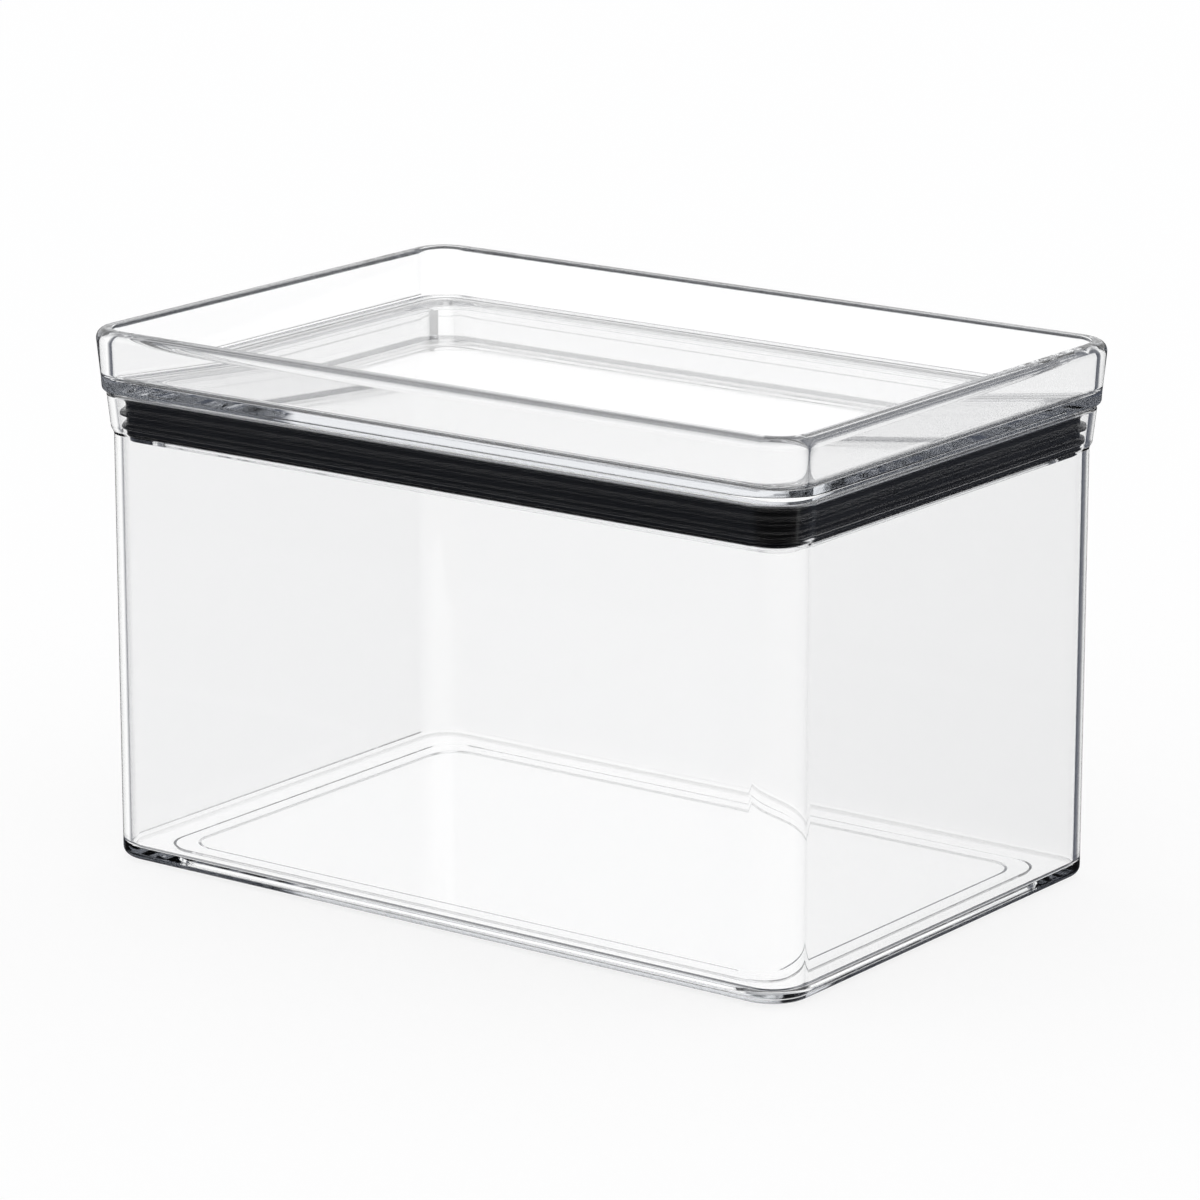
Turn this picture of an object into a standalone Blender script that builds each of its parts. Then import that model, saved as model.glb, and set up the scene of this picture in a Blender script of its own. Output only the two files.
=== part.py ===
"""A clear plastic storage container with a lift-off lid and a black ribbed seal.

The container stands on a low foot ring, and its wall flares into a collar at the
top. The lid is a flat plate with a raised rim. Below the plate a hollow plug hangs
inside the collar. The plug carries the seal, which a clear frame holds from below.

Each piece is a profile carried round a rounded rectangle. A profile point is one
ring: an inset from an outline, and a height above the table. Metres, +Z up, the
origin on the table under the middle of the container.
"""

import math
from collections import namedtuple

import bmesh
import bpy

# Container body
BODY_LENGTH = 0.2432
BODY_WIDTH = 0.1612
BODY_HEIGHT = 0.1411
BODY_CORNER_RADIUS = 0.0120
BODY_WALL = 0.0025
BODY_FLOOR = 0.0034
BASE_EDGE_RADIUS = 0.0025
FLOOR_FILLET_RADIUS = 0.0018

# Foot ring under the floor
FOOT_HEIGHT = 0.0010
FOOT_INSET = 0.0119
FOOT_WIDTH = 0.0056
FOOT_DRAFT = 0.0004
FOOT_CORNER_RADIUS = 0.0095

# Collar at the top of the body: a quick step outwards, then a slow lean to the rim
COLLAR_HEIGHT = 0.0125
COLLAR_STEP = 0.0009
COLLAR_STEP_HEIGHT = 0.0026
COLLAR_LEAN = 0.0011
COLLAR_EDGE_RADIUS = 0.0007

# Gaps between pieces that seat on each other, and from a seal lip to the collar
FIT_GAP = 0.0003
LIP_CLEARANCE = 0.0003

# Lid tray: a plate with a raised rim, whose outer face leans out towards the top
LID_OVERHANG = 0.0034
LID_CORNER_RADIUS = 0.0125
LID_WALL = 0.0047
LID_TAPER = 0.00115
RIM_HEIGHT = 0.0149
RIM_OUTER_RADIUS = 0.0024
RIM_INNER_RADIUS = 0.0012
PLATE_THICKNESS = 0.0037
PLATE_EDGE_RADIUS = 0.0016
PLATE_FILLET_RADIUS = 0.0020

# Hollow lid plug, which hangs inside the collar and carries the seal in a groove
PLUG_CLEARANCE = 0.0016
PLUG_WALL = 0.0032
PLUG_FILLET_RADIUS = 0.0020
SHOULDER_HEIGHT = 0.0019
GROOVE_HEIGHT = 0.0106
HOLLOW_CORNER_RADIUS = 0.0125

# Seal: a core with two lips that reach the collar, and a bead at each end
SEAL_CORE = 0.0030
BEAD_THICKNESS = 0.0014
BEAD_REACH = 0.0006
UPPER_LIP_THICKNESS = 0.0011
LOWER_LIP_THICKNESS = 0.0019
UPPER_LIP_HEIGHT_SHARE = 0.62
LOWER_LIP_HEIGHT_SHARE = 0.24
LIP_TIP_SHARE = 0.6

# Clear frame under the seal, whose underside rises towards the middle
FRAME_THICKNESS = 0.0018
FRAME_INNER_THICKNESS = 0.0010
FRAME_SETBACK = 0.0009
FRAME_EDGE_RADIUS = 0.0005

# How finely round stretches are divided
CORNER_STEPS = 8
ARC_STEPS = 4
COLLAR_STEPS = 4
SHARP_ANGLE = math.radians(32)

# Heights above the table that follow from the sizes
FLOOR_TOP = FOOT_HEIGHT + BODY_FLOOR
COLLAR_BOTTOM = BODY_HEIGHT - COLLAR_HEIGHT
PLATE_UNDERSIDE = BODY_HEIGHT + FIT_GAP
PLATE_TOP = PLATE_UNDERSIDE + PLATE_THICKNESS
LID_TOP = PLATE_TOP + RIM_HEIGHT
GROOVE_TOP = PLATE_UNDERSIDE - SHOULDER_HEIGHT
PLUG_BOTTOM = GROOVE_TOP - GROOVE_HEIGHT
FRAME_TOP = PLUG_BOTTOM - FIT_GAP
FRAME_BOTTOM = FRAME_TOP - FRAME_THICKNESS

# Insets from the body's outer face that follow from the sizes
FOOT_INNER_INSET = FOOT_INSET + FOOT_WIDTH
PLUG_INSET = BODY_WALL + PLUG_CLEARANCE
GROOVE_INSET = PLUG_INSET + SEAL_CORE + FIT_GAP
HOLLOW_INSET = GROOVE_INSET + PLUG_WALL
FRAME_INSET = PLUG_INSET + FRAME_SETBACK

Outline = namedtuple("Outline", "half_length half_width radius")


def outline_at(inset, corner_radius):
    """A rounded rectangle that lies inset inside the body's outer face, with its own corner radius."""
    return Outline(BODY_LENGTH / 2 - inset, BODY_WIDTH / 2 - inset, corner_radius)


BODY_OUTLINE = outline_at(0, BODY_CORNER_RADIUS)
FOOT_OUTLINE = outline_at(FOOT_INSET, FOOT_CORNER_RADIUS)
FOOT_INNER_OUTLINE = outline_at(FOOT_INNER_INSET, FOOT_CORNER_RADIUS)
LID_OUTLINE = outline_at(-LID_OVERHANG, LID_CORNER_RADIUS)
HOLLOW_OUTLINE = outline_at(HOLLOW_INSET, HOLLOW_CORNER_RADIUS)


def ring_points(outline, inset, height):
    """Points once round the outline, moved inwards by inset: four quarter circles with straight sides."""
    half_length = outline.half_length - inset
    half_width = outline.half_width - inset
    radius = outline.radius - inset
    points = []
    for corner, (side_x, side_y) in enumerate(((1, 1), (-1, 1), (-1, -1), (1, -1))):
        for step in range(CORNER_STEPS + 1):
            angle = math.pi / 2 * (corner + step / CORNER_STEPS)
            x = side_x * (half_length - radius) + radius * math.cos(angle)
            y = side_y * (half_width - radius) + radius * math.sin(angle)
            points.append((x, y, height))
    return points


def arc(inset, height, radius, start, end):
    """Points (inset, height) on a circle round the given centre, from start to end degrees.

    0 degrees points inwards, away from the outline, and 90 degrees points up.
    """
    points = []
    for step in range(ARC_STEPS + 1):
        angle = math.radians(start + (end - start) * step / ARC_STEPS)
        points.append((inset + radius * math.cos(angle), height + radius * math.sin(angle)))
    return points


def on_outline(outline, points):
    """The profile points as rings of one outline."""
    return [ring_points(outline, inset, height) for inset, height in points]


def collar_reach(height):
    """How far the collar stands out from the body's face: half a cosine wave, then a straight lean."""
    above = height - COLLAR_BOTTOM
    if above <= 0:
        return 0.0
    step = COLLAR_STEP * (1 - math.cos(math.pi * min(above / COLLAR_STEP_HEIGHT, 1))) / 2
    lean_share = max(above - COLLAR_STEP_HEIGHT, 0) / (COLLAR_HEIGHT - COLLAR_STEP_HEIGHT)
    return step + COLLAR_LEAN * lean_share


def swept_object(name, rings, material, parent=None):
    """A closed body through the rings in order.

    The first and last ring are capped where they differ; where the last ring
    repeats the first, the body closes on itself as a frame.
    """
    origin_height = parent.location.z if parent else 0.0
    is_frame = rings[0] == rings[-1]
    if is_frame:
        rings = rings[:-1]
    shape = bmesh.new()
    loops = [[shape.verts.new((x, y, z - origin_height)) for x, y, z in ring] for ring in rings]
    pairs = list(zip(loops, loops[1:]))
    if is_frame:
        pairs.append((loops[-1], loops[0]))
    else:
        shape.faces.new(loops[0])
        shape.faces.new(loops[-1])
    for lower, upper in pairs:
        for i in range(len(lower)):
            j = (i + 1) % len(lower)
            shape.faces.new((lower[i], lower[j], upper[j], upper[i]))
    bmesh.ops.recalc_face_normals(shape, faces=shape.faces)
    mesh = bpy.data.meshes.new(name)
    shape.to_mesh(mesh)
    shape.free()
    mesh.shade_smooth()
    mesh.set_sharp_from_angle(angle=SHARP_ANGLE)
    mesh.materials.append(material)
    piece = bpy.data.objects.new(name, mesh)
    piece.parent = parent
    bpy.context.scene.collection.objects.link(piece)
    return piece


def moulded_material(name, colour, roughness, transmission, ior):
    """One Principled shader with its linear colour, roughness, clearness and index of refraction."""
    material = bpy.data.materials.new(name)
    material.use_nodes = True
    shader = material.node_tree.nodes["Principled BSDF"]
    shader.inputs["Base Color"].default_value = (*colour, 1.0)
    shader.inputs["Metallic"].default_value = 0.0
    shader.inputs["Roughness"].default_value = roughness
    shader.inputs["Transmission Weight"].default_value = transmission
    shader.inputs["IOR"].default_value = ior
    return material


def clear_plastic(name):
    """Glossy styrene plastic, clear with a faint cool tint."""
    return moulded_material(name, (0.93, 0.96, 0.98), 0.02, 1.0, 1.57)


def container_body():
    """The open box: foot ring, rounded base edge, straight wall, flared collar, inner wall and floor."""
    rim_reach = collar_reach(BODY_HEIGHT)
    straight_top = BODY_HEIGHT - COLLAR_EDGE_RADIUS
    step_shares = [step / COLLAR_STEPS for step in range(COLLAR_STEPS + 1)]
    collar_heights = [COLLAR_BOTTOM + COLLAR_STEP_HEIGHT * share for share in step_shares]
    rings = on_outline(FOOT_INNER_OUTLINE, [(0, FOOT_HEIGHT), (-FOOT_DRAFT, 0)])
    rings += on_outline(FOOT_OUTLINE, [(FOOT_DRAFT, 0), (0, FOOT_HEIGHT)])
    profile = arc(BASE_EDGE_RADIUS, FOOT_HEIGHT + BASE_EDGE_RADIUS, BASE_EDGE_RADIUS, -90, -180)
    profile += [(-collar_reach(height), height) for height in collar_heights]
    profile += arc(COLLAR_EDGE_RADIUS - rim_reach, straight_top, COLLAR_EDGE_RADIUS, 180, 90)
    profile += arc(BODY_WALL - COLLAR_EDGE_RADIUS - rim_reach, straight_top, COLLAR_EDGE_RADIUS, 90, 0)
    profile += [(BODY_WALL - collar_reach(height), height) for height in reversed(collar_heights)]
    profile += arc(
        BODY_WALL + FLOOR_FILLET_RADIUS, FLOOR_TOP + FLOOR_FILLET_RADIUS, FLOOR_FILLET_RADIUS, 180, 270
    )
    rings += on_outline(BODY_OUTLINE, profile)
    return swept_object("container_body", rings, clear_plastic("clear_body_plastic"))


def lid_tray(parent):
    """The rings run over the rim, down the plug with its groove, and up inside it to the plate."""
    rim_outer_height = LID_TOP - RIM_OUTER_RADIUS
    rim_inner_height = LID_TOP - RIM_INNER_RADIUS
    fillet_height = PLATE_TOP + PLATE_FILLET_RADIUS
    edge_inset = LID_TAPER + PLATE_EDGE_RADIUS
    rim = arc(LID_WALL + PLATE_FILLET_RADIUS, fillet_height, PLATE_FILLET_RADIUS, 270, 180)
    rim += arc(LID_WALL - RIM_INNER_RADIUS, rim_inner_height, RIM_INNER_RADIUS, 0, 90)
    rim += arc(RIM_OUTER_RADIUS, rim_outer_height, RIM_OUTER_RADIUS, 90, 180)
    rim += [(LID_TAPER, PLATE_TOP)]
    rim += arc(edge_inset, PLATE_UNDERSIDE + PLATE_EDGE_RADIUS, PLATE_EDGE_RADIUS, 180, 270)
    plug = [
        (PLUG_INSET, PLATE_UNDERSIDE),
        (PLUG_INSET, GROOVE_TOP),
        (GROOVE_INSET, GROOVE_TOP),
        (GROOVE_INSET, PLUG_BOTTOM),
    ]
    hollow = [(0, PLUG_BOTTOM)]
    hollow += arc(PLUG_FILLET_RADIUS, PLATE_UNDERSIDE - PLUG_FILLET_RADIUS, PLUG_FILLET_RADIUS, 180, 90)
    rings = on_outline(LID_OUTLINE, rim)
    rings += on_outline(BODY_OUTLINE, plug)
    rings += on_outline(HOLLOW_OUTLINE, hollow)
    return swept_object("lid_tray", rings, clear_plastic("clear_lid_plastic"), parent)


def rib(height, thickness, reach):
    """One rib of the seal, from top to bottom: it narrows from the core to a blunt tip."""
    half = thickness / 2
    tip = half * LIP_TIP_SHARE
    tip_inset = PLUG_INSET - reach
    return [
        (PLUG_INSET, height + half),
        (tip_inset + tip, height + tip),
        (tip_inset, height),
        (tip_inset + tip, height - tip),
        (PLUG_INSET, height - half),
    ]


def lid_seal(parent):
    """The seal: a core in the groove, an upper and a lower lip to the collar, and a bead at each end."""
    bottom = PLUG_BOTTOM
    top = GROOVE_TOP - FIT_GAP
    lips = []
    for share, thickness in (
        (UPPER_LIP_HEIGHT_SHARE, UPPER_LIP_THICKNESS),
        (LOWER_LIP_HEIGHT_SHARE, LOWER_LIP_THICKNESS),
    ):
        height = bottom + (top - bottom) * share
        collar_inset = BODY_WALL - collar_reach(height - thickness / 2)
        lips += rib(height, thickness, PLUG_INSET - collar_inset - LIP_CLEARANCE)
    profile = [(GROOVE_INSET - FIT_GAP, bottom), (GROOVE_INSET - FIT_GAP, top)]
    profile += rib(top - BEAD_THICKNESS / 2, BEAD_THICKNESS, BEAD_REACH)
    profile += lips
    profile += rib(bottom + BEAD_THICKNESS / 2, BEAD_THICKNESS, BEAD_REACH)
    profile.append(profile[0])
    rubber = moulded_material("black_seal_rubber", (0.012, 0.012, 0.014), 0.38, 0.0, 1.42)
    return swept_object("lid_seal", on_outline(BODY_OUTLINE, profile), rubber, parent)


def seal_frame(parent):
    """The flat frame under the seal and the plug; its inside is flush with the plug's."""
    edge_inset = FRAME_INSET + FRAME_EDGE_RADIUS
    outer = arc(edge_inset, FRAME_TOP - FRAME_EDGE_RADIUS, FRAME_EDGE_RADIUS, 90, 180)
    outer += arc(edge_inset, FRAME_BOTTOM + FRAME_EDGE_RADIUS, FRAME_EDGE_RADIUS, 180, 270)
    inner = [(0, FRAME_TOP - FRAME_INNER_THICKNESS), (0, FRAME_TOP)]
    rings = on_outline(BODY_OUTLINE, outer) + on_outline(HOLLOW_OUTLINE, inner)
    rings.append(rings[0])
    return swept_object("seal_frame", rings, clear_plastic("clear_frame_plastic"), parent)


def lift_axis():
    """An empty on the line that the lid lifts along, in the middle of the collar's rim."""
    axis = bpy.data.objects.new("lid_lift_axis", None)
    axis.location = (0, 0, BODY_HEIGHT)
    bpy.context.scene.collection.objects.link(axis)
    return axis


def main():
    for old in list(bpy.data.objects):
        bpy.data.objects.remove(old, do_unlink=True)
    container_body()
    lid_axis = lift_axis()
    lid_tray(lid_axis)
    lid_seal(lid_axis)
    seal_frame(lid_axis)


main()
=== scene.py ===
"""Looks of a clear plastic storage container with a lift-off tray lid and a black ribbed seal.

Every piece is a profile carried round a rounded rectangle, worked out as whole arrays.
Lengths below are millimetres in the frame of the solids: +X along the length, +Z up, the table at 0.
"""

import math
from collections import namedtuple

import bpy
import numpy as np
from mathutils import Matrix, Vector


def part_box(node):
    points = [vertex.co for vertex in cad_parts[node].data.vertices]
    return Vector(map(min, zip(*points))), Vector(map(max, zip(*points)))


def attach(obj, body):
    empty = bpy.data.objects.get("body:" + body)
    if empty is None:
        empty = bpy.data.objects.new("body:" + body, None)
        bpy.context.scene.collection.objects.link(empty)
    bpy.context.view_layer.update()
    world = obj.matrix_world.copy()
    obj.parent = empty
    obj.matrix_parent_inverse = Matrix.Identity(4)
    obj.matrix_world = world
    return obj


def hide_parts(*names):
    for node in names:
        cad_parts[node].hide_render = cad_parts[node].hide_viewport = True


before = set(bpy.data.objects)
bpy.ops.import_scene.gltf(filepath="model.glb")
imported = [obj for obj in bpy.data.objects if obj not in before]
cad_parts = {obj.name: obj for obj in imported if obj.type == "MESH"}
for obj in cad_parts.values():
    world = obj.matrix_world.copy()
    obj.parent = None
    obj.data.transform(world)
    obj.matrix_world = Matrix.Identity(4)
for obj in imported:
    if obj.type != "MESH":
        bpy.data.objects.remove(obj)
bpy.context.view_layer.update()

# One millimetre in the scene's metres
MM = 0.001

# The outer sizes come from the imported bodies
body_low, body_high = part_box("container_body")
lid_low, lid_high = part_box("lid_tray")
seal_low, seal_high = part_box("lid_seal")
frame_low, frame_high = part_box("seal_frame")
LID_HALF_LENGTH = lid_high.x / MM
LID_HALF_WIDTH = lid_high.y / MM
LID_TOP = lid_high.z / MM
PLUG_BOTTOM = lid_low.z / MM
BODY_TOP = body_high.z / MM
SEAL_BOTTOM = seal_low.z / MM
SEAL_TOP = seal_high.z / MM
FRAME_BOTTOM = frame_low.z / MM

# Insets are measured from the body's outer wall, positive inwards
LID_OVERHANG = 3.4
BODY_HALF_LENGTH = LID_HALF_LENGTH - LID_OVERHANG
BODY_HALF_WIDTH = LID_HALF_WIDTH - LID_OVERHANG
BODY_CORNER = 12.0
LID_CORNER = 12.5

# Body
WALL = 2.5
WALL_TOP_ROUND = 0.7
BASE_ROUND = 2.5
FLOOR_TOP = 4.4
FLOOR_FILLET = 1.8
FOOT_HEIGHT = 1.0
FOOT_INSET = 11.9
FOOT_WIDTH = 5.6
FOOT_DRAFT = 0.4
FOOT_CORNER = 9.5
COLLAR_HEIGHT = 12.5
COLLAR_STEP = 0.9
COLLAR_STEP_HEIGHT = 2.6
COLLAR_LEAN = 1.1
COLLAR_STEPS = 9

# Lid
RIM_WALL = 4.7
RIM_TAPER = 1.15
RIM_OUTER_ROUND = 3.0
RIM_INNER_ROUND = 0.6
PLATE_TOP = 145.1
PLATE_UNDERSIDE = 141.4
PLATE_FILLET = 2.0
PLATE_EDGE_ROUND = 1.6
PLATE_EDGE_TAPER = 0.2
PLATE_CREASE_ROUND = 0.5
PLUG_INSET = 4.1
GROOVE_INSET = 7.4
GROOVE_TOP = 139.5
HOLLOW_INSET = 10.6
HOLLOW_CORNER = 12.5
HOLLOW_FILLET = 2.0
HOLLOW_MOUTH_ROUND = 0.6
SMALL_ROUND = 0.3

# Seal: each lip stands at its share of the seal's height, and narrows to the tip's share of its thickness
SEAL_GAP = 0.3
BEAD_THICKNESS = 1.4
BEAD_REACH = 0.6
UPPER_LIP_THICKNESS = 1.1
LOWER_LIP_THICKNESS = 1.9
UPPER_LIP_SHARE = 0.62
LOWER_LIP_SHARE = 0.24
LIP_TIP_SHARE = 0.6
LIP_ROUND = 0.2
BACK_MARGIN = 0.05

# Frame under the seal
FRAME_INSET = 5.0
FRAME_EDGE_ROUND = 0.3

WHITE = (1, 1, 1, 1)

# Clear polystyrene: its optics, the cast's density being per metre, and the size and detail of its marks
PLASTIC_IOR = 1.57
PLASTIC_CAST = "8f9fb4"
PLASTIC_CAST_DENSITY = 1.4
FLOW_WAVE = 30.0
FLOW_WAVE_DEPTH = 0.006
FLOW_WAVE_DETAIL = 1.0
WIPE_MARK = 18.0
WIPE_MARK_DETAIL = 3.0
PLASTIC_ROUGHNESS = {"To Min": 0.0, "To Max": 0.03}

# Black silicone: its gloss is half as strong as usual, which keeps the lines along its ribs thin. The grain
# is coarser than that of a real mould, and about the finest that the photograph's view can show.
RUBBER_IOR = 1.42
RUBBER_SPECULAR = 0.25
RUBBER_DARK = "080808"
RUBBER_PALE = "100f0f"
RUBBER_ROUGHNESS = {"To Min": 0.1, "To Max": 0.18}
RUBBER_CLOUD = 3.0
MOULD_GRAIN = 0.25
MOULD_GRAIN_DEPTH = 0.002
RUBBER_DETAIL = 2.0

# Noise below the first of these gives the low end of a roughness, and above the second the high end
NOISE_RANGE = {"From Min": 0.3, "From Max": 0.7}

# Studio floor: a little lower than the table's height, so that it isn't in one plane with the foot ring,
# and mostly plain white to the camera, with the paper and its shadow as the rest
FLOOR_HALF_SIDE = 6000.0
FLOOR_DROP = 0.03
FLOOR_GLOW_SHARE = 0.8
PAPER_WHITE = "fcfcfd"

# Studio room: the way to one of its two opposite dark sides, and to its dark front, where the camera
# stands. These dark places are painted reflections: the room lights everything white and shows them only in
# the plastic. A range gives the cosines of the angle to such a way, or to straight down, between which the
# darkness grows from nothing to full. Upwards the sides and the front fade out over the painted flag tops'
# range, in sines of the angle above level.
SIDE_OF_ROOM = (0.598, 0.802, 0.0)
FRONT_OF_ROOM = (0.598, -0.802, 0.0)
SIDES_RANGE = {"From Min": 0.45, "From Max": 0.75}
FRONT_RANGE = {"From Min": 0.3, "From Max": 0.6}
GROUND_RANGE = {"From Min": 0.35, "From Max": 1.0}
PAINTED_FLAG_TOP_RANGE = {"From Min": 0.05, "From Max": 0.2, "To Min": 1.0, "To Max": 0.0}
# Tones of the painted reflections at the sides and front, and of the painted shade on the ground
SIDES_PAINTED_REFLECTION_TONE = "5a5e68"
FRONT_PAINTED_REFLECTION_TONE = "303032"
GROUND_PAINTED_SHADE_TONE = "2c303a"

# Light that wasn't reflected meets the dark ground, a painted shade, only after more faces than this
CLEAR_FACES = 5

# Reflections and faces are counted in whole numbers, so "more than n" is tested as more than n and a half
HALF_COUNT = 0.5

# The room's brightness behind the plastic, which makes up for what the faces reflect
THROUGH_STRENGTH = 1.11

# Light that is trapped in the walls meets many faces before it leaves them
LIGHT_BOUNCES = 32

# The photograph's view: degrees and millimetres, but its farthest reach in metres
CAMERA_AZIMUTH = 36.43
CAMERA_ELEVATION = 14.62
CAMERA_DISTANCE = 1605.2
CAMERA_TARGET = (-1.57, 2.70, 79.83)
CAMERA_LENS = 165.0
CAMERA_SENSOR = 36.0
CAMERA_REACH = 100.0

# Settings of nodes
SMOOTH = {"interpolation_type": "SMOOTHSTEP"}
MORE = {"operation": "GREATER_THAN"}
LESS = {"operation": "LESS_THAN"}
PRODUCT = {"operation": "MULTIPLY"}
LARGER = {"operation": "MAXIMUM"}

# A flat end is one face, which starts this far in from the last rounded corner
END_MARGIN = 4.0

# How finely a quarter corner and a quarter fillet are divided
CORNER_STEPS = 28
FILLET_STEPS = 8

Point = namedtuple("Point", "inset height fillet corner")


def filleted(points, closed):
    """The profile with its corners rounded, as rows of inset, height and corner radius of the ring there.

    At a corner with fillet radius f that turns by an angle t, a circle of radius f touches both sides at
    f * tan(t / 2) from the corner, and points are set evenly round it. The ring's own corner radius stays
    concentric with the corner's: it grows by as much as the inset shrinks.
    """
    last = len(points) - 1
    rows = []
    for i, point in enumerate(points):
        here = np.array((point.inset, point.height))
        at_end = not closed and i in (0, last)
        if at_end or point.fillet == 0:
            rows.append([(point.inset, point.height, point.corner)])
            continue
        before = points[i - 1]
        after = points[0 if i == last else i + 1]
        into = here - (before.inset, before.height)
        out = np.array((after.inset, after.height)) - here
        into = into / np.linalg.norm(into)
        out = out / np.linalg.norm(out)
        side = into[0] * out[1] - into[1] * out[0]
        turn = math.atan2(side, into @ out)
        reach = point.fillet * math.tan(abs(turn) / 2)
        start = here - reach * into
        normal = np.array((-into[1], into[0])) * np.sign(turn)
        centre = start + point.fillet * normal
        spoke = -normal * point.fillet
        across = np.array((-spoke[1], spoke[0]))
        steps = max(2, round(FILLET_STEPS * abs(turn) / (math.pi / 2)))
        angle = turn * np.linspace(0, 1, steps + 1)[:, None]
        arc = centre + spoke * np.cos(angle) + across * np.sin(angle)
        rows.append(np.column_stack([arc, point.corner + point.inset - arc[:, 0]]))
    return np.concatenate(rows)


def ring_grid(rows):
    """Grid of points in metres: each row once round its rounded rectangle.

    With half sides a and b, corner radius r and angle t, a corner's points are
    (a - r) * sx + r * cos t and (b - r) * sy + r * sin t, sx and sy being the corner's signs.
    """
    inset, height, radius = rows.T[:, :, None]
    quarter = np.linspace(0, math.pi / 2, CORNER_STEPS + 1)
    angle = np.concatenate([quarter + math.pi / 2 * k for k in range(4)])[None]
    sign_x = np.repeat([1, -1, -1, 1], CORNER_STEPS + 1)[None]
    sign_y = np.repeat([1, 1, -1, -1], CORNER_STEPS + 1)[None]
    x = sign_x * (BODY_HALF_LENGTH - inset - radius) + radius * np.cos(angle)
    y = sign_y * (BODY_HALF_WIDTH - inset - radius) + radius * np.sin(angle)
    z = np.broadcast_to(height, x.shape)
    return np.stack([x, y, z], axis=-1) * MM


def swept_piece(name, points, closed, materials, material_of=None):
    """The surface through the rings of a filleted profile, with flat ends unless the profile is closed.

    Normals are the mean of the faces' own, weighted by area, so flat faces stay flat beside a fillet.
    """
    grid = ring_grid(filleted(points, closed))
    count, around = grid.shape[:2]
    index = np.arange(count * around).reshape(count, around)
    upper = np.roll(index, -1, axis=0) if closed else index[1:]
    lower = index if closed else index[:-1]
    quads = np.stack([lower, np.roll(lower, -1, axis=1), np.roll(upper, -1, axis=1), upper], axis=-1)
    quads = quads.reshape(-1, 4)
    vertices = grid.reshape(-1, 3)
    corners = vertices[quads]
    middles = corners.mean(axis=1)
    crossed = np.cross(corners[:, 2] - corners[:, 0], corners[:, 3] - corners[:, 1])
    volume = np.einsum("ij,ij->i", middles, crossed).sum()
    caps = [] if closed else [index[0][::-1], index[-1]]
    cap_areas = [np.cross(vertices[cap], np.roll(vertices[cap], -1, axis=0)).sum(axis=0) for cap in caps]
    volume += sum(vertices[cap].mean(axis=0) @ area for cap, area in zip(caps, cap_areas))
    if volume < 0:
        quads = quads[:, ::-1]
        crossed = -crossed
        caps = [cap[::-1] for cap in caps]
        cap_areas = [-area for area in cap_areas]
    normals = np.zeros_like(vertices)
    for column in quads.T:
        np.add.at(normals, column, crossed)
    for cap, area in zip(caps, cap_areas):
        normals[cap] += area
    normals /= np.linalg.norm(normals, axis=1, keepdims=True)
    mesh = bpy.data.meshes.new(name)
    mesh.from_pydata(vertices.tolist(), [], quads.tolist() + [cap.tolist() for cap in caps])
    for material in materials:
        mesh.materials.append(material)
    if material_of is not None:
        slots = np.zeros(len(mesh.polygons), dtype=np.int32)
        slots[: len(quads)] = material_of(middles)
        mesh.polygons.foreach_set("material_index", slots)
    mesh.shade_smooth()
    mesh.normals_split_custom_set_from_vertices(normals)
    piece = bpy.data.objects.new(name, mesh)
    bpy.context.scene.collection.objects.link(piece)
    return piece


def linear(hex_colour):
    """An sRGB colour such as "c8d2dc" as a linear RGBA tuple."""
    channels = [int(hex_colour[i : i + 2], 16) / 255 for i in (0, 2, 4)]
    return (*(c / 12.92 if c <= 0.04045 else ((c + 0.055) / 1.055) ** 2.4 for c in channels), 1.0)


def add_node(tree, kind, settings=None, inputs=None):
    """A node with its settings. An input takes a value, a socket, or the first output of another node."""
    node = tree.nodes.new(kind)
    for name, value in (settings or {}).items():
        setattr(node, name, value)
    for name, value in (inputs or {}).items():
        source = value.outputs[0] if isinstance(value, bpy.types.Node) else value
        if isinstance(source, bpy.types.NodeSocket):
            tree.links.new(source, node.inputs[name])
        else:
            node.inputs[name].default_value = source
    return node


def new_material(name):
    """An empty material with only its output node."""
    material = bpy.data.materials.new(name)
    material.use_nodes = True
    tree = material.node_tree
    tree.nodes.clear()
    return material, tree, add_node(tree, "ShaderNodeOutputMaterial")


def clear_polystyrene():
    """General-purpose polystyrene, injection moulded against polished steel.

    The faces are bright and smooth, and the edges look dark because light stays trapped in the walls and
    then meets the room's painted dark reflections and painted shade.
    The melt leaves a slow waviness of a few thousandths of a millimetre, and wiping leaves a trace of haze.
    A blue-grey cast shows only where light runs a long way inside the wall.
    """
    material, tree, output = new_material("clear_polystyrene")
    place = add_node(tree, "ShaderNodeTexCoord").outputs["Object"]
    waves, haze = (
        add_node(
            tree,
            "ShaderNodeTexNoise",
            inputs={"Vector": place, "Scale": 1 / (mark * MM), "Detail": detail},
        )
        for mark, detail in ((FLOW_WAVE, FLOW_WAVE_DETAIL), (WIPE_MARK, WIPE_MARK_DETAIL))
    )
    gloss = {"Value": haze, **NOISE_RANGE, **PLASTIC_ROUGHNESS}
    relief = {"Strength": 1.0, "Distance": FLOW_WAVE_DEPTH * MM, "Height": waves}
    surface = add_node(
        tree,
        "ShaderNodeBsdfPrincipled",
        inputs={
            "Base Color": WHITE,
            "Metallic": 0.0,
            "Roughness": add_node(tree, "ShaderNodeMapRange", SMOOTH, gloss),
            "IOR": PLASTIC_IOR,
            "Transmission Weight": 1.0,
            "Normal": add_node(tree, "ShaderNodeBump", inputs=relief),
        },
    )
    absorbed = {"Color": linear(PLASTIC_CAST), "Density": PLASTIC_CAST_DENSITY}
    cast = add_node(tree, "ShaderNodeVolumeAbsorption", inputs=absorbed)
    tree.links.new(surface.outputs["BSDF"], output.inputs["Surface"])
    tree.links.new(cast.outputs["Volume"], output.inputs["Volume"])
    return material


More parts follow.
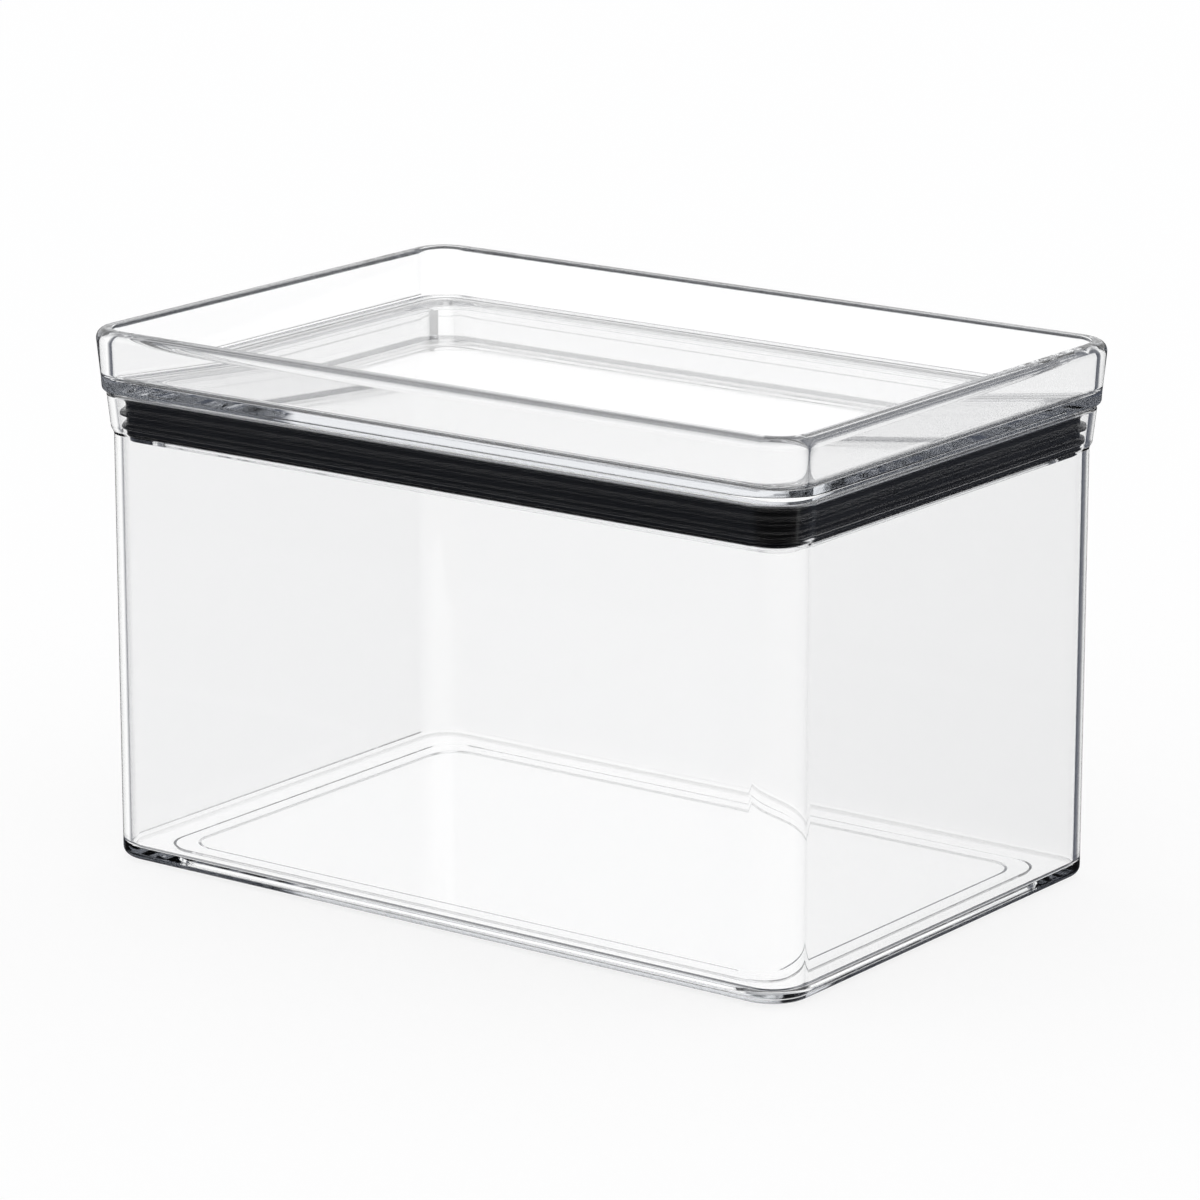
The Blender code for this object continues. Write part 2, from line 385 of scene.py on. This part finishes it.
def black_silicone():
    """Silicone rubber with carbon black, pressed in a steel mould.

    Its satin skin shows a soft bright line along each rib, and is near black elsewhere. A faint cloudiness
    of its gloss, and the mould's grain, break up the line. Only its outer side is seen, because the
    photograph shows light, and no black, where the far side's run would be.
    """
    material, tree, output = new_material("black_silicone")
    place = add_node(tree, "ShaderNodeTexCoord").outputs["Object"]
    grain, cloud = (
        add_node(
            tree,
            "ShaderNodeTexNoise",
            inputs={"Vector": place, "Scale": 1 / (mark * MM), "Detail": RUBBER_DETAIL},
        )
        for mark in (MOULD_GRAIN, RUBBER_CLOUD)
    )
    shades = {"Factor": cloud, "A": linear(RUBBER_DARK), "B": linear(RUBBER_PALE)}
    gloss = {"Value": cloud, **NOISE_RANGE, **RUBBER_ROUGHNESS}
    relief = {"Strength": 1.0, "Distance": MOULD_GRAIN_DEPTH * MM, "Height": grain}
    surface = add_node(
        tree,
        "ShaderNodeBsdfPrincipled",
        inputs={
            "Base Color": add_node(tree, "ShaderNodeMix", {"data_type": "RGBA"}, shades).outputs["Result"],
            "Metallic": 0.0,
            "Roughness": add_node(tree, "ShaderNodeMapRange", SMOOTH, gloss),
            "IOR": RUBBER_IOR,
            "Specular IOR Level": RUBBER_SPECULAR,
            "Normal": add_node(tree, "ShaderNodeBump", inputs=relief),
        },
    )
    inner_side = add_node(tree, "ShaderNodeNewGeometry").outputs["Backfacing"]
    clear = add_node(tree, "ShaderNodeBsdfTransparent")
    outer_only = add_node(tree, "ShaderNodeMixShader", inputs={0: inner_side, 1: surface, 2: clear})
    tree.links.new(outer_only.outputs["Shader"], output.inputs["Surface"])
    return material


def seal_back():
    """The back of the seal, pressed to the clear plug, which shows no black in the photograph."""
    material, tree, output = new_material("seal_back")
    clear = add_node(tree, "ShaderNodeBsdfTransparent")
    tree.links.new(clear.outputs["BSDF"], output.inputs["Surface"])
    return material


def collar_reach(height):
    """How far the collar stands out: half a cosine wave, then a straight lean."""
    above = height - (BODY_TOP - COLLAR_HEIGHT)
    wave = np.clip(above / COLLAR_STEP_HEIGHT, 0, 1)
    lean = np.clip((above - COLLAR_STEP_HEIGHT) / (COLLAR_HEIGHT - COLLAR_STEP_HEIGHT), 0, 1)
    return COLLAR_STEP * (1 - np.cos(math.pi * wave)) / 2 + COLLAR_LEAN * lean


def on_body(inset, height, fillet=0.0):
    """A point given by its inset from the body's outer wall."""
    return Point(inset, height, fillet, BODY_CORNER - inset)


def on_lid(inset, height, fillet=0.0):
    """A point given by its inset from the lid's own outline."""
    return Point(inset - LID_OVERHANG, height, fillet, LID_CORNER - inset)


def in_hollow(inset, height, fillet=0.0):
    """A point given by its inset from the plug's inner wall."""
    return Point(HOLLOW_INSET + inset, height, fillet, HOLLOW_CORNER - inset)


def on_foot(inset, height, fillet=0.0):
    """A point on the foot ring, whose corners are all alike."""
    return Point(inset, height, fillet, FOOT_CORNER)


def container_body(material):
    """Foot ring, rounded base edge, straight wall, flared collar, inner wall and floor."""
    foot_inner = FOOT_INSET + FOOT_WIDTH
    collar_heights = BODY_TOP - COLLAR_HEIGHT + COLLAR_STEP_HEIGHT * np.linspace(0, 1, COLLAR_STEPS)
    reach = collar_reach(BODY_TOP)
    points = [
        Point(foot_inner + END_MARGIN, FOOT_HEIGHT, 0.0, FOOT_CORNER - END_MARGIN),
        on_foot(foot_inner, FOOT_HEIGHT, SMALL_ROUND),
        on_foot(foot_inner - FOOT_DRAFT, 0.0, SMALL_ROUND),
        on_foot(FOOT_INSET + FOOT_DRAFT, 0.0, SMALL_ROUND),
        on_foot(FOOT_INSET, FOOT_HEIGHT, SMALL_ROUND),
        on_body(0.0, FOOT_HEIGHT, BASE_ROUND),
    ]
    points += [on_body(-collar_reach(height), height) for height in collar_heights]
    points += [on_body(-reach, BODY_TOP, WALL_TOP_ROUND), on_body(WALL - reach, BODY_TOP, WALL_TOP_ROUND)]
    points += [on_body(WALL - collar_reach(height), height) for height in collar_heights[::-1]]
    points += [on_body(WALL, FLOOR_TOP, FLOOR_FILLET), on_body(WALL + END_MARGIN, FLOOR_TOP)]
    return swept_piece("container_shell", points, False, [material])


def lid_tray(material):
    """Plate with a raised rim, and a hollow plug below it with the seal's groove."""
    # The outer face leans so that the rounding at its top just reaches the lid's outline
    rim_height = LID_TOP - PLATE_TOP
    centre_in = RIM_OUTER_ROUND - RIM_TAPER
    centre_up = rim_height - RIM_OUTER_ROUND
    lean = math.asin(RIM_OUTER_ROUND / math.hypot(centre_in, centre_up)) - math.atan2(centre_in, centre_up)
    past = RIM_TAPER - rim_height * math.tan(lean)
    points = [
        on_lid(RIM_WALL + END_MARGIN, PLATE_TOP),
        on_lid(RIM_WALL, PLATE_TOP, PLATE_FILLET),
        on_lid(RIM_WALL, LID_TOP, RIM_INNER_ROUND),
        on_lid(past, LID_TOP, RIM_OUTER_ROUND),
        on_lid(RIM_TAPER, PLATE_TOP, PLATE_CREASE_ROUND),
        on_lid(RIM_TAPER + PLATE_EDGE_TAPER, PLATE_UNDERSIDE, PLATE_EDGE_ROUND),
        on_body(PLUG_INSET, PLATE_UNDERSIDE, SMALL_ROUND),
        on_body(PLUG_INSET, GROOVE_TOP, SMALL_ROUND),
        on_body(GROOVE_INSET, GROOVE_TOP, SMALL_ROUND),
        on_body(GROOVE_INSET, PLUG_BOTTOM, SMALL_ROUND),
        in_hollow(0.0, PLUG_BOTTOM, HOLLOW_MOUTH_ROUND),
        in_hollow(0.0, PLATE_UNDERSIDE, HOLLOW_FILLET),
        in_hollow(END_MARGIN, PLATE_UNDERSIDE),
    ]
    return swept_piece("lid_tray_clear", points, False, [material])


def lid_seal(rubber, back):
    """Core in the groove, two lips to the collar and a bead at each end."""
    core = GROOVE_INSET - SEAL_GAP
    height = SEAL_TOP - SEAL_BOTTOM
    upper = SEAL_BOTTOM + UPPER_LIP_SHARE * height
    lower = SEAL_BOTTOM + LOWER_LIP_SHARE * height
    wall_gap = PLUG_INSET - WALL - SEAL_GAP
    ribs = (
        (SEAL_TOP - BEAD_THICKNESS / 2, BEAD_THICKNESS, BEAD_REACH),
        (upper, UPPER_LIP_THICKNESS, wall_gap + collar_reach(upper - UPPER_LIP_THICKNESS / 2)),
        (lower, LOWER_LIP_THICKNESS, wall_gap + collar_reach(lower - LOWER_LIP_THICKNESS / 2)),
        (SEAL_BOTTOM + BEAD_THICKNESS / 2, BEAD_THICKNESS, BEAD_REACH),
    )
    points = [on_body(core, SEAL_BOTTOM, LIP_ROUND), on_body(core, SEAL_TOP, LIP_ROUND)]
    for centre, thickness, reach in ribs:
        half = thickness / 2
        tip = half * LIP_TIP_SHARE
        points += [
            on_body(PLUG_INSET, centre + half),
            on_body(PLUG_INSET - reach + tip, centre + tip, LIP_ROUND),
            on_body(PLUG_INSET - reach, centre, SMALL_ROUND),
            on_body(PLUG_INSET - reach + tip, centre - tip, LIP_ROUND),
            on_body(PLUG_INSET, centre - half),
        ]

    def is_back(middles):
        """1 where a face lies on the core's back, inside the core's outline."""
        radius = BODY_CORNER - core
        past_x = np.maximum(np.abs(middles[:, 0]) / MM - (BODY_HALF_LENGTH - core - radius), 0)
        past_y = np.maximum(np.abs(middles[:, 1]) / MM - (BODY_HALF_WIDTH - core - radius), 0)
        return (np.hypot(past_x, past_y) < radius + BACK_MARGIN).astype(np.int32)

    return swept_piece("lid_seal_rubber", points, True, [rubber, back], is_back)


def seal_frame(material):
    """Flat frame under the seal, flush with the inside of the plug."""
    top = PLUG_BOTTOM - SEAL_GAP
    points = [
        on_body(FRAME_INSET, top, FRAME_EDGE_ROUND),
        on_body(FRAME_INSET, FRAME_BOTTOM, FRAME_EDGE_ROUND),
        in_hollow(0.0, FRAME_BOTTOM, FRAME_EDGE_ROUND),
        in_hollow(0.0, top, FRAME_EDGE_ROUND),
    ]
    return swept_piece("seal_frame_clear", points, True, [material])


def place_piece(piece, body, node):
    """The piece moves with the body and stands for the node, which is hidden."""
    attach(piece, body)
    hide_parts(node)


def seen_in_piece(tree, path):
    """1 for light that was reflected, and 1 for light just out of plastic, if no matt face was met."""
    clean = add_node(tree, "ShaderNodeMath", LESS, {0: path["Diffuse Depth"], 1: HALF_COUNT})
    reflected = add_node(tree, "ShaderNodeMath", MORE, {0: path["Glossy Depth"], 1: HALF_COUNT})
    bounced = add_node(tree, "ShaderNodeMath", PRODUCT, {0: reflected, 1: clean})
    through = add_node(tree, "ShaderNodeMath", PRODUCT, {0: path["Is Transmission Ray"], 1: clean})
    return bounced, through


def studio_floor():
    """White paper under the container. Seen through or in the plastic it gives way to the room behind it."""
    half = FLOOR_HALF_SIDE
    corners = np.array([(-half, -half), (half, -half), (half, half), (-half, half)])
    vertices = np.column_stack([corners, np.full(len(corners), -FLOOR_DROP)]) * MM
    mesh = bpy.data.meshes.new("studio_floor")
    mesh.from_pydata(vertices.tolist(), [], [(0, 1, 2, 3)])
    floor = bpy.data.objects.new("studio_floor", mesh)
    bpy.context.scene.collection.objects.link(floor)
    material, tree, output = new_material("white_paper")
    path = add_node(tree, "ShaderNodeLightPath").outputs
    paper = add_node(tree, "ShaderNodeBsdfDiffuse", inputs={"Color": linear(PAPER_WHITE)})
    glow = add_node(tree, "ShaderNodeEmission", inputs={"Color": WHITE, "Strength": 1.0})
    clear = add_node(tree, "ShaderNodeBsdfTransparent")
    share = add_node(tree, "ShaderNodeMath", PRODUCT, {0: path["Is Camera Ray"], 1: FLOOR_GLOW_SHARE})
    lit = add_node(tree, "ShaderNodeMixShader", inputs={0: share, 1: paper, 2: glow})
    bounced, through = seen_in_piece(tree, path)
    hidden = add_node(tree, "ShaderNodeMath", LARGER, {0: bounced, 1: through})
    seen = add_node(tree, "ShaderNodeMixShader", inputs={0: hidden, 1: lit, 2: clear})
    tree.links.new(seen.outputs["Shader"], output.inputs["Surface"])
    mesh.materials.append(material)


def studio_room():
    """An evenly white room for all light, with painted dark reflections and painted shade for what shows in
    the plastic.

    Straight through the walls the room is white. A reflection meets the dark sides, the dark front and, on
    an outer face, the dark table. These are painted reflections, because the paper floor and the room's
    light are white.
    The front and the sides end a little above level, but light that was reflected more than once meets the
    sides at any height. The ground is dark to steep light that was reflected or bent through many faces.
    That painted shade draws the edges of the plastic.
    """
    world = bpy.data.worlds.new("studio_room")
    world.use_nodes = True
    tree = world.node_tree
    tree.nodes.clear()

    # What the light met on its way
    path = add_node(tree, "ShaderNodeLightPath").outputs
    bounced, through = seen_in_piece(tree, path)
    repeated = add_node(tree, "ShaderNodeMath", MORE, {0: path["Glossy Depth"], 1: 1 + HALF_COUNT})
    faces = {0: path["Transmission Depth"], 1: CLEAR_FACES + HALF_COUNT}
    many_faces = add_node(tree, "ShaderNodeMath", MORE, faces)
    bent = add_node(tree, "ShaderNodeMath", PRODUCT, {0: through, 1: many_faces})
    painted_ground_shade_share = add_node(tree, "ShaderNodeMath", LARGER, {0: bounced, 1: bent})
    mirrored = add_node(
        tree,
        "ShaderNodeMath",
        {"operation": "SUBTRACT", "use_clamp": True},
        {0: path["Is Glossy Ray"], 1: path["Is Transmission Ray"]},
    )

    # Where the light goes
    direction = add_node(tree, "ShaderNodeTexCoord").outputs["Generated"]
    aside, ahead = (
        add_node(tree, "ShaderNodeVectorMath", {"operation": "DOT_PRODUCT"}, {0: direction, 1: way})
        for way in (SIDE_OF_ROOM, FRONT_OF_ROOM)
    )
    aside = add_node(tree, "ShaderNodeMath", {"operation": "ABSOLUTE"}, {0: aside.outputs["Value"]})
    height = add_node(tree, "ShaderNodeSeparateXYZ", inputs={0: direction}).outputs["Z"]
    depth = add_node(tree, "ShaderNodeMath", PRODUCT, {0: height, 1: -1.0})
    downwards = add_node(tree, "ShaderNodeMath", MORE, {0: depth, 1: 0.0})
    below_top = add_node(tree, "ShaderNodeMapRange", SMOOTH, {"Value": height, **PAINTED_FLAG_TOP_RANGE})

    # The dark places: painted reflections and painted shade
    sides = add_node(tree, "ShaderNodeMapRange", SMOOTH, {"Value": aside, **SIDES_RANGE})
    side_reach = add_node(tree, "ShaderNodeMath", LARGER, {0: below_top, 1: repeated})
    sides = add_node(tree, "ShaderNodeMath", PRODUCT, {0: sides, 1: side_reach})
    front = add_node(tree, "ShaderNodeMapRange", SMOOTH, {"Value": ahead.outputs["Value"], **FRONT_RANGE})
    front = add_node(tree, "ShaderNodeMath", PRODUCT, {0: front, 1: below_top})
    # Painted reflection: the table is dark only in outer reflections, while the paper floor is white
    table = add_node(tree, "ShaderNodeMath", PRODUCT, {0: downwards, 1: mirrored})
    around = add_node(tree, "ShaderNodeMath", LARGER, {0: sides, 1: front})
    around = add_node(tree, "ShaderNodeMath", LARGER, {0: around, 1: table})
    around = add_node(tree, "ShaderNodeMath", PRODUCT, {0: around, 1: bounced})
    # Painted shade on the ground, seen by steep light that was reflected or bent through many faces
    ground = add_node(tree, "ShaderNodeMapRange", SMOOTH, {"Value": depth, **GROUND_RANGE})
    ground = add_node(tree, "ShaderNodeMath", PRODUCT, {0: ground, 1: painted_ground_shade_share})
    dark = add_node(tree, "ShaderNodeMath", LARGER, {0: around, 1: ground})

    # Brightness, and the tones of the painted reflections and the painted shade
    strength = {0: through, 1: THROUGH_STRENGTH - 1, 2: 1.0}
    strength = add_node(tree, "ShaderNodeMath", {"operation": "MULTIPLY_ADD"}, strength)
    plain = add_node(tree, "ShaderNodeBackground", inputs={"Color": WHITE, "Strength": strength})
    deeper = add_node(tree, "ShaderNodeMath", LARGER, {0: mirrored, 1: front})
    tones = {"Factor": deeper, "A": linear(SIDES_PAINTED_REFLECTION_TONE), "B": linear(FRONT_PAINTED_REFLECTION_TONE)}
    tone = add_node(tree, "ShaderNodeMix", {"data_type": "RGBA"}, tones).outputs["Result"]
    tones = {"Factor": ground, "A": tone, "B": linear(GROUND_PAINTED_SHADE_TONE)}
    tone = add_node(tree, "ShaderNodeMix", {"data_type": "RGBA"}, tones).outputs["Result"]
    shade = add_node(tree, "ShaderNodeBackground", inputs={"Color": tone, "Strength": 1.0})
    seen = add_node(tree, "ShaderNodeMixShader", inputs={0: dark, 1: plain, 2: shade})
    add_node(tree, "ShaderNodeOutputWorld", inputs={"Surface": seen})
    bpy.context.scene.world = world


def photo_view():
    """The photograph's view, fitted to the container's straight edges."""
    azimuth = math.radians(CAMERA_AZIMUTH)
    elevation = math.radians(CAMERA_ELEVATION)
    level = math.cos(elevation)
    back = Vector((math.sin(azimuth) * level, -math.cos(azimuth) * level, math.sin(elevation)))
    data = bpy.data.cameras.new("photo_view")
    data.lens = CAMERA_LENS
    data.sensor_width = CAMERA_SENSOR
    data.clip_end = CAMERA_REACH
    view = bpy.data.objects.new("photo_view", data)
    view.location = (Vector(CAMERA_TARGET) + CAMERA_DISTANCE * back) * MM
    view.rotation_euler = back.to_track_quat("Z", "Y").to_euler()
    bpy.context.scene.collection.objects.link(view)
    bpy.context.scene.camera = view


def main():
    """The pieces, the studio, the view, and enough bounces for clear plastic."""
    clear = clear_polystyrene()
    place_piece(container_body(clear), "container", "container_body")
    place_piece(lid_tray(clear), "lid", "lid_tray")
    place_piece(lid_seal(black_silicone(), seal_back()), "lid", "lid_seal")
    place_piece(seal_frame(clear), "lid", "seal_frame")
    studio_floor()
    studio_room()
    photo_view()
    scene = bpy.context.scene
    scene.view_settings.view_transform = "Standard"
    scene.cycles.max_bounces = LIGHT_BOUNCES
    scene.cycles.glossy_bounces = LIGHT_BOUNCES
    scene.cycles.transmission_bounces = LIGHT_BOUNCES


main()
